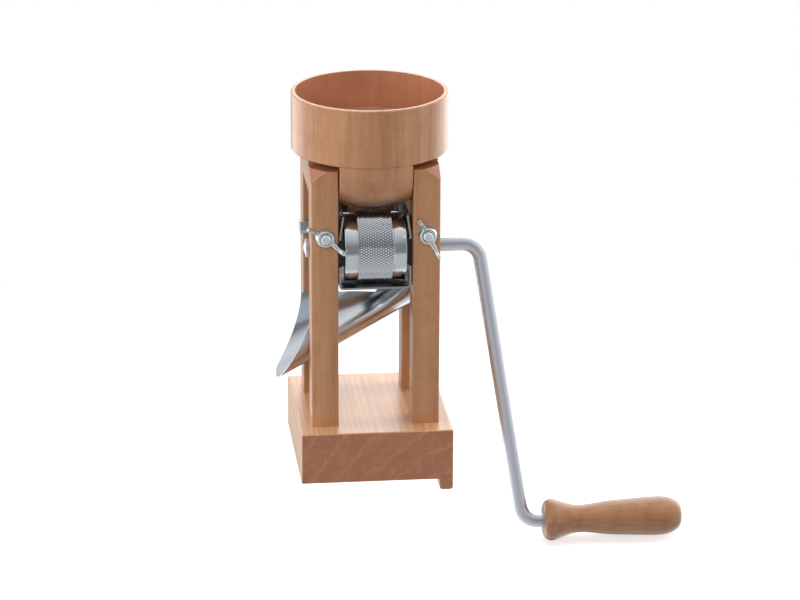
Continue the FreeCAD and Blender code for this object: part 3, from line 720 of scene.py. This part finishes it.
def make_wing_nut(node, side, turn, body, material):
    """A hub with two wings at an angle in degrees, each with a slot punched through it."""
    centre_x = side * NUT_X
    nut, slots = bmesh.new(), bmesh.new()
    add_shell(nut, [ring("Y", NUT_FACE_Y - rise, radius, (centre_x, BOLT_Z), NUT_POINTS)
                    for rise, radius in NUT_HUB], loop=True)
    for half in (0, 180):
        angle = math.radians(turn + half)
        add_shell(nut, [[nut_point(centre_x, angle, reach, sign * wing_half(reach), rise)
                         for reach, rise in WING_OUTLINE] for sign in (-1, 1)])
        add_shell(slots, [[nut_point(centre_x, angle, reach, sign * SLOT_HALF, rise)
                           for reach, rise in WING_SLOT] for sign in (-1, 1)])
    piece = make_piece(node + "_forged", nut, material)
    tool = make_piece(node + "_slots", slots, material)
    forge(piece, "forging")
    cut = piece.modifiers.new("slot", "BOOLEAN")
    cut.operation = "DIFFERENCE"
    cut.solver = "EXACT"
    cut.object = tool
    forge(piece, "pressing")
    ease = piece.modifiers.new("rounding", "SMOOTH")
    ease.factor = 0.5
    ease.iterations = 5
    bake(piece)
    bpy.data.objects.remove(tool)
    shade_smooth(piece.data)
    stand_for(piece, node, body)


def thread_wave(y):
    """Radius of the thread round the bolt at one place along it."""
    limit = min(BOLT_RADIUS, BOLT_RADIUS - TIP_FIRST_LOSS + (y - BOLT_TIP_Y) * TIP_SLOPE)
    fade = min(1.0, max(0.0, (THREAD_END_Y - y) / THREAD_FADE))

    def wave(angle):
        phase = (-y / THREAD_PITCH - angle / TURN) % 1.0
        groove = (abs(2 * phase - 1) - 0.5) * CREST_STRETCH + 0.5
        cut = THREAD_DEPTH * min(1.0, max(0.0, groove))
        return min(limit, BOLT_RADIUS - cut * fade)
    return wave


def head_rings(centre):
    """The domed head, from its edge to a small flat at the top of its sphere."""
    sphere = (BOLT_HEAD_RADIUS ** 2 + BOLT_HEAD_RISE ** 2) / (2 * BOLT_HEAD_RISE)
    rings = [ring("Y", BOLT_HEAD_Y - HEAD_GAP, BOLT_HEAD_RADIUS - HEAD_EDGE, centre,
                  BOLT_POINTS)]
    for step in range(HEAD_RINGS):
        share = step / (HEAD_RINGS - 1)
        rise = HEAD_SIDE + (BOLT_HEAD_RISE - HEAD_SIDE - HEAD_FLAT) * share
        reach = math.sqrt(sphere ** 2 - (sphere - BOLT_HEAD_RISE + rise) ** 2)
        rings.append(ring("Y", BOLT_HEAD_Y + rise, reach, centre, BOLT_POINTS))
    return rings


def make_draw_bolt(node, side, material):
    """A coach bolt: threaded shank, domed head and the square neck under it."""
    centre = (side * NUT_X, BOLT_Z)
    run = THREAD_END_Y - BOLT_TIP_Y
    steps = round(run / THREAD_PITCH * THREAD_STEPS)
    bm = bmesh.new()
    shank = [(BOLT_TIP_Y, BOLT_RADIUS - TIP_LOSS)]
    for step in range(steps + 1):
        y = BOLT_TIP_Y + run * step / steps
        shank.append((y, thread_wave(y)))
    shank.append((BOLT_HEAD_Y, BOLT_RADIUS))
    add_shell(bm, [ring("Y", y, radius, centre, BOLT_POINTS) for y, radius in shank])
    add_shell(bm, head_rings(centre))
    add_box(bm, (centre[0] - NECK_HALF, BOLT_HEAD_Y - NECK_DEPTH, BOLT_Z - NECK_HALF),
            (centre[0] + NECK_HALF, BOLT_HEAD_Y, BOLT_Z + NECK_HALF))
    stand_for(make_piece(node + "_threaded", bm, material), node, "carriage")


def make_camera():
    yaw, pitch, roll = (math.radians(a) for a in (CAM_YAW, CAM_PITCH, CAM_ROLL))
    ahead = Vector((math.sin(yaw) * math.cos(pitch), math.cos(yaw) * math.cos(pitch),
                    -math.sin(pitch)))
    right = Vector((math.cos(yaw), -math.sin(yaw), 0))
    up = right.cross(ahead)
    rolled_right = right * math.cos(roll) + up * math.sin(roll)
    rolled_up = up * math.cos(roll) - right * math.sin(roll)
    data = bpy.data.cameras.new("camera")
    data.sensor_width = SENSOR
    data.lens = CAM_FOCAL * SENSOR / VIEW_WIDTH
    data.clip_start, data.clip_end = CLIP_NEAR, CLIP_FAR
    camera = bpy.data.objects.new("camera", data)
    turn = Matrix((rolled_right, rolled_up, -ahead)).transposed().to_4x4()
    camera.matrix_world = Matrix.Translation(CAM_PLACE) @ turn
    bpy.context.scene.collection.objects.link(camera)
    bpy.context.scene.camera = camera


def make_lamp(name, place, aim, size, power):
    """A soft box that lights the object but doesn't show as a shape in the metal."""
    data = bpy.data.lights.new(name, "AREA")
    data.shape = "RECTANGLE"
    data.size, data.size_y = size
    data.energy = power
    lamp = bpy.data.objects.new(name, data)
    lamp.location = place
    lamp.rotation_mode = "QUATERNION"
    lamp.rotation_quaternion = (Vector(aim) - Vector(place)).to_track_quat("-Z", "Y")
    lamp.visible_glossy = False
    bpy.context.scene.collection.objects.link(lamp)


def mirrored_level(sky):
    """Brightness that glossy surfaces mirror from each direction.

    A light room with a bright backdrop, which is shaded low down behind the object and
    calmer at its left, and a dimmer side in front that is lighter above and below.
    """
    toward = sky.node("ShaderNodeTexCoord", {}, {}, "Generated")
    x, y, z = (toward.part(axis) for axis in "XYZ")
    ground, raised = z.steps(*GROUND_Z), z.steps(*RAISED_Z)
    front = z.steps(*CEILING_Z) * FRONT_CEILING + FRONT_LEVEL + ground * FRONT_GROUND
    behind = y.steps(*BEHIND_Y)
    shade = behind * (1.0 - x.fold().steps(*ASIDE_X).at_least(raised))
    calm = x.steps(*CALM_X) * raised * behind
    room = behind * BACKDROP_EXTRA + ROOM_LEVEL - shade * BACK_SHADE - calm * LEFT_CALM
    between = x.steps(*FRONT_LEFT_X) * x.steps(*FRONT_RIGHT_X)
    ahead = y.steps(*AHEAD_Y) * between.at_least(ground)
    return room + (front - room) * ahead


def make_world():
    """White to the camera, even light, and the studio's shades for reflections."""
    world = bpy.data.worlds.new("studio")
    world.use_nodes = True
    bpy.context.scene.world = world
    world.node_tree.nodes.clear()
    sky = Graph(world.node_tree)
    plain, mirrored, white = (
        sky.node("ShaderNodeBackground", {}, {"Color": (1, 1, 1, 1), "Strength": strength})
        for strength in (WORLD_FILL, mirrored_level(sky), 1.0))
    seen = sky.light_path("Is Camera Ray").at_least(sky.light_path("Is Transmission Ray"))
    lit = sky.blend(sky.light_path("Is Glossy Ray"), plain, mirrored)
    sky.node("ShaderNodeOutputWorld", {}, {"Surface": sky.blend(seen, lit, white)})


def make_floor():
    """White disc that fades out, so the object keeps a soft shadow on a white ground."""
    low = cad_low.z - FLOOR_GAP
    angles = (TURN * point / FLOOR_POINTS for point in range(FLOOR_POINTS))
    points = [(FLOOR_RADIUS * math.cos(a), FLOOR_RADIUS * math.sin(a), low) for a in angles]
    mesh = bpy.data.meshes.new("floor")
    mesh.from_pydata(points, [], [tuple(range(FLOOR_POINTS))])
    floor = bpy.data.objects.new("floor", mesh)
    bpy.context.scene.collection.objects.link(floor)
    mat = Mat("floor_white")
    mat.set("Base Color", (FLOOR_WHITE, FLOOR_WHITE, FLOOR_WHITE, 1))
    mat.set("Roughness", 0.9)
    mat.set("Emission Color", (1, 1, 1, 1))
    mat.set("Emission Strength", FLOOR_GLOW)
    fade = mat.place().off_middle().steps(*FLOOR_FADE)
    hidden = fade.at_least(1 - mat.light_path("Is Camera Ray"))
    clear = mat.node("ShaderNodeBsdfTransparent", {}, {})
    shown = mat.blend(hidden, Val(mat, mat.shader.outputs[0]), clear)
    mat.feed(mat.tree.nodes["Material Output"].inputs["Surface"], shown)
    mesh.materials.append(mat.material)


make_camera()
dress_wood()
finishes = make_finishes()
dress_rest(finishes)
wear_edges()
make_rollers(finishes["roller_steel"])
make_wing_nut("wing_nut_left", -1, LEFT_NUT_ANGLE, "left_nut", finishes["zinc_steel"])
make_wing_nut("wing_nut_right", 1, RIGHT_NUT_ANGLE, "right_nut", finishes["zinc_steel"])
make_draw_bolt("draw_bolt_left", -1, finishes["zinc_steel"])
make_draw_bolt("draw_bolt_right", 1, finishes["zinc_steel"])
make_world()
make_floor()
for lamp in LAMPS:
    make_lamp(*lamp)

bpy.context.scene.view_settings.view_transform = "Standard"
